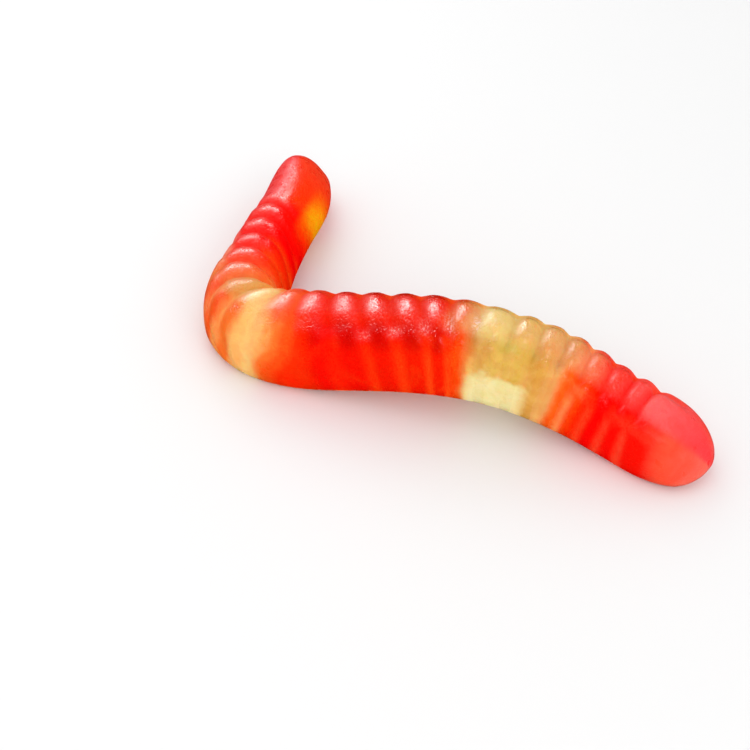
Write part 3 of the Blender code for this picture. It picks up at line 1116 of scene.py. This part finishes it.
# %% Frost and painted sheen
FROST_AND_SHEEN_COLOUR = (1.0, 0.80, 0.76, 1.0)
FROST_AND_SHEEN_SHARE = 0.09
FROST_AND_SHEEN_END = (75.0, 79.0)
TOP_MIDDLE = -0.12
TOP_SPREAD = 0.34
NEAR_LEG_SHEEN_STRETCH = (38.0, 42.0, 55.0, 58.0)
NEAR_LEG_SHEEN_SHARE = 0.10
SPECKLE_SCALE = 4300.0
SPECKLE_EDGE = (0.46, 0.62)
SPECKLE_SHARE = 0.85
PATCH_SCALE = 520.0
PATCH_EDGE = (0.35, 0.60)
PATCH_SHARE = 0.6
HIGHLIGHT_SPOTS_STRETCH = (45.0, 51.0, 57.5, 60.0)
HIGHLIGHT_SPOTS_PLACE = 46.8
HIGHLIGHT_SPOTS_LEVEL = 0.81
HIGHLIGHT_SPOTS_RISE = 0.0163
HIGHLIGHT_SPOTS_SPREAD = 0.042
HIGHLIGHT_SPOTS_SHARPNESS = 3.0
HIGHLIGHT_SPOTS_SHARE = 0.55

speckle = noise_at(SPECKLE_SCALE).eased(*SPECKLE_EDGE)
patches = noise_at(PATCH_SCALE).eased(*PATCH_EDGE)
near_leg_sheen = station.between(*NEAR_LEG_SHEEN_STRETCH)
top_band = sideways.bell(TOP_MIDDLE, TOP_SPREAD) * crest_share * station.eased(*FROST_AND_SHEEN_END).flipped()
# Frost of starch on the bead tops, together with the painted sheen of the highlights there.
frost_and_sheen = top_band * valley.flipped() * (patches * PATCH_SHARE + (1.0 - PATCH_SHARE))
frost_and_sheen = frost_and_sheen * (near_leg_sheen * NEAR_LEG_SHEEN_SHARE + FROST_AND_SHEEN_SHARE)
# Painted highlights: a row of small pale spots in the grooves along the outer shoulder of the near leg.
highlight_spots_level = (station - HIGHLIGHT_SPOTS_PLACE) * HIGHLIGHT_SPOTS_RISE + HIGHLIGHT_SPOTS_LEVEL
highlight_spots = level.bell(highlight_spots_level, HIGHLIGHT_SPOTS_SPREAD) * (valley ** HIGHLIGHT_SPOTS_SHARPNESS) * inner_share.flipped()
highlight_spots = highlight_spots * station.between(*HIGHLIGHT_SPOTS_STRETCH)
frost_and_sheen = (frost_and_sheen + highlight_spots * HIGHLIGHT_SPOTS_SHARE) * (speckle * SPECKLE_SHARE + (1.0 - SPECKLE_SHARE))
body_colour = blended(frost_and_sheen, body_colour, FROST_AND_SHEEN_COLOUR)
print("frost up to", FROST_AND_SHEEN_SHARE + NEAR_LEG_SHEEN_SHARE, "on the beads")

# %% [markdown]
# ### Stirred syrup
# At last a faint swirl makes the whole colour a little uneven. Overlay darkens with a grey below the middle
# and lightens with one above it, so the hue hardly changes.

# %% Swirl
SWIRL_DARK = (0.40, 0.38, 0.36, 1.0)
SWIRL_LIGHT = (0.62, 0.62, 0.66, 1.0)
SWIRL_EDGE = (0.36, 0.64)
SWIRL_SHARE = 0.35

stirred = noise_at(420.0, detail=3.0, distortion=1.6).eased(*SWIRL_EDGE)
swirl = blended(stirred, SWIRL_DARK, SWIRL_LIGHT)
body_colour = blended(SWIRL_SHARE, body_colour, swirl, "OVERLAY")
paint.links.new(body_colour, shader.inputs["Base Color"])
print("the swirl changes the colour by a share of", SWIRL_SHARE)

# %% [markdown]
# ### The grain of the jelly
# A cast worm is not polished like glass. Starch leaves small pores and slower dimples, so highlights break
# up into soft speckles. They are far too small for the mesh, so they are made as bump. The head is smoother
# than the rest.

# %% Grain
PORE_SCALE = 3900.0
PORE_EDGE = (0.34, 0.50)
PORE_SHARE = 0.45
DIMPLE_SCALE = 1300.0
DIMPLE_SHARE = 0.6
GRAIN_DEPTH = 0.12 * MM
GRAIN_STRENGTH = 0.5
HEAD_END = (10.0, 15.0)
HEAD_SMOOTHER = 0.4

pores = noise_at(PORE_SCALE, detail=1.0).eased(*PORE_EDGE)
dimples = noise_at(DIMPLE_SCALE)
head = station.eased(*HEAD_END).flipped()
grain = (pores * PORE_SHARE + dimples * DIMPLE_SHARE) * (head * -HEAD_SMOOTHER + 1.0)
bump = paint.nodes.new("ShaderNodeBump")
bump.inputs["Strength"].default_value = GRAIN_STRENGTH
bump.inputs["Distance"].default_value = GRAIN_DEPTH
feed(paint, bump.inputs["Height"], grain)
paint.links.new(bump.outputs["Normal"], shader.inputs["Normal"])
print("grain made of pores and dimples")

# %% [markdown]
# ### The gloss
# The gloss changes over the body. The grooves are the dullest, because starch stays in them, and on the
# tail the dull part of a groove is wider. The head, the far leg, the tail and the tan bead of the elbow are
# duller than the near leg, and the beads from its middle on are the sharpest.

# %% Roughness and gloss
GROOVE_SHARPNESS = 1.6
TAIL_SOFTER = 1.0
BASE_ROUGHNESS = 0.15
CLOUD_SCALE = 900.0
CLOUD_EDGE = (0.3, 0.7)
CLOUD_ROUGHER = 0.12
GROOVE_ROUGHER = 0.30
START_END = (44.0, 50.0)
START_ROUGHER = 0.10
TAIL_ROUGHER = 0.12
BASE_GLOSS = 0.5
HEAD_DULLER = 0.23
FAR_LEG_END = (24.0, 30.0)
FAR_LEG_DULLER = 0.11
DULL_STRETCH = (27.4, 29.0, 31.2, 32.6)
TAN_BEAD_DULLER = 0.22
TAIL_DULLER = 0.16
GROOVE_DULLER = 0.96

hollow = valley ** (tail * -TAIL_SOFTER + GROOVE_SHARPNESS)
clouds = noise_at(CLOUD_SCALE).eased(*CLOUD_EDGE)
start = station.eased(*START_END).flipped()
roughness = clouds * CLOUD_ROUGHER + hollow * GROOVE_ROUGHER + start * START_ROUGHER
roughness = roughness + tail * TAIL_ROUGHER + BASE_ROUGHNESS
far_leg = station.eased(*FAR_LEG_END).flipped()
tan_bead = station.between(*DULL_STRETCH)
gloss = head * -HEAD_DULLER + far_leg * -FAR_LEG_DULLER + tan_bead * -TAN_BEAD_DULLER
gloss = gloss + tail * -TAIL_DULLER + BASE_GLOSS
feed(paint, shader.inputs["Roughness"], roughness)
feed(paint, shader.inputs["Specular IOR Level"], (hollow * -GROOVE_DULLER + 1.0) * gloss)
print("gloss", BASE_GLOSS, "on the beads and", round(BASE_GLOSS * (1.0 - GROOVE_DULLER), 3), "in a groove")

# %% [markdown]
# ### The light inside
# Light goes a few millimetres into jelly. The radius says how far each of red, green and blue goes, as a
# share of the scale.

# %% Light inside the jelly
JELLY_IOR = 1.43
LIGHT_REACH = 2.5 * MM
LIGHT_SHARES = (1.0, 0.35, 0.2)

shader.inputs["IOR"].default_value = JELLY_IOR
shader.inputs["Subsurface Weight"].default_value = 1.0
shader.inputs["Subsurface Radius"].default_value = LIGHT_SHARES
shader.inputs["Subsurface Scale"].default_value = LIGHT_REACH
print("jelly has", len(paint.nodes), "nodes")

# %% [markdown]
# ## Grow the body
# The tree gets its material and becomes a modifier of the ruler. A modifier's input is set by the
# identifier of its socket, not by its name. Then the evaluated body is copied to a plain mesh, which takes
# the ruler's place, and the modifier goes.

# %% Grow the body and make it a plain mesh
dress.inputs["Material"].default_value = jelly
grow = worm.modifiers.new("grow", "NODES")
grow.node_group = body_tree
inputs = [item for item in body_tree.interface.items_tree if item.in_out == "INPUT"]
identifiers = {item.name: item.identifier for item in inputs}
for name, kind, value in BODY_INPUTS:
    grow[identifiers[name]] = value
bpy.context.view_layer.update()
depsgraph = bpy.context.evaluated_depsgraph_get()
grown = bpy.data.meshes.new_from_object(
    worm.evaluated_get(depsgraph),
    preserve_all_data_layers=True,
    depsgraph=depsgraph,
)
worm.modifiers.remove(grow)
worm.data = grown
grown.name = "worm_jelly"
print("body of", len(grown.vertices), "points and", len(grown.polygons), "faces")

# %% [markdown]
# The solid has its origin in the middle of its box, on the ground. The body is moved in its mesh until its
# own box has the same middle in plan and stands on the ground, so the object itself stays at the origin.

# %% Put the body where the solid stands
low = [min(vertex.co[axis] for vertex in grown.vertices) for axis in range(3)]
high = [max(vertex.co[axis] for vertex in grown.vertices) for axis in range(3)]
middle = [0.5 * (low[axis] + high[axis]) for axis in range(2)]
target = [0.5 * (cad_box[0][axis] + cad_box[1][axis]) for axis in range(2)]
for vertex in grown.vertices:
    vertex.co.x += target[0] - middle[0]
    vertex.co.y += target[1] - middle[1]
    vertex.co.z -= low[2]
print("body", [round((high[axis] - low[axis]) / MM, 1) for axis in range(3)], "mm in size")

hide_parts("worm")
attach(worm, "root")

# %% [markdown]
# ## Floor
# The photograph was taken on white with soft light all round, so the worm lies on a wide pale floor that
# catches a soft shadow.

# %% Floor
FLOOR_REACH = 2.0
FLOOR_COLOUR = (0.86, 0.86, 0.86, 1.0)
FLOOR_ROUGHNESS = 0.7

floor_corners = [
    (-FLOOR_REACH, -FLOOR_REACH, 0.0),
    (FLOOR_REACH, -FLOOR_REACH, 0.0),
    (FLOOR_REACH, FLOOR_REACH, 0.0),
    (-FLOOR_REACH, FLOOR_REACH, 0.0),
]
floor_mesh = bpy.data.meshes.new("floor")
floor_mesh.from_pydata(floor_corners, [], [(0, 1, 2, 3)])
floor = bpy.data.objects.new("floor", floor_mesh)
bpy.context.scene.collection.objects.link(floor)
pale_floor = bpy.data.materials.new("pale floor")
pale_floor.use_nodes = True
floor_shader = pale_floor.node_tree.nodes["Principled BSDF"]
floor_shader.inputs["Base Color"].default_value = FLOOR_COLOUR
floor_shader.inputs["Roughness"].default_value = FLOOR_ROUGHNESS
floor_mesh.materials.append(pale_floor)
print("floor", 2.0 * FLOOR_REACH, "m wide")

# %% [markdown]
# ## Lights
# A wide window above and behind gives the highlights along the crest, and a small ceiling lamp in front
# adds a few sparks low on the beads. Both show in the gloss only. A front panel and a white surround
# brighten the flanks. Neither they nor the floor show in the gloss, which would turn milky.


# %% Lights
def panel(name, location, width, length, power):
    """A rectangular light that faces the worm."""
    data = bpy.data.lights.new(name, "AREA")
    data.shape = "RECTANGLE"
    data.size = width
    data.size_y = length
    data.energy = power
    light = bpy.data.objects.new(name, data)
    light.location = location
    aim = -light.location.normalized()
    light.rotation_euler = aim.to_track_quat("-Z", "Y").to_euler()
    bpy.context.scene.collection.objects.link(light)
    return light


window = panel("window", location=(-0.163, 0.355, 0.283), width=0.40, length=0.22, power=3.6)
lamp = panel("ceiling lamp", location=(0.03, -0.20, 0.42), width=0.15, length=0.15, power=0.25)
for light in (window, lamp):
    light.visible_diffuse = False
    light.visible_transmission = False
front = panel("front panel", location=(0.12, -0.42, 0.24), width=0.45, length=0.30, power=0.7)
front.visible_glossy = False
print("a window, a ceiling lamp and a front panel")

# %% White surround
WHITE = (1.0, 1.0, 1.0, 1.0)

world = bpy.data.worlds.new("studio")
world.use_nodes = True
background = world.node_tree.nodes["Background"]
background.inputs["Color"].default_value = WHITE
background.inputs["Strength"].default_value = 1.0
world.cycles_visibility.glossy = False
floor.visible_glossy = False
bpy.context.scene.world = world
bpy.context.scene.view_settings.view_transform = "Standard"
print("a white surround on all sides")
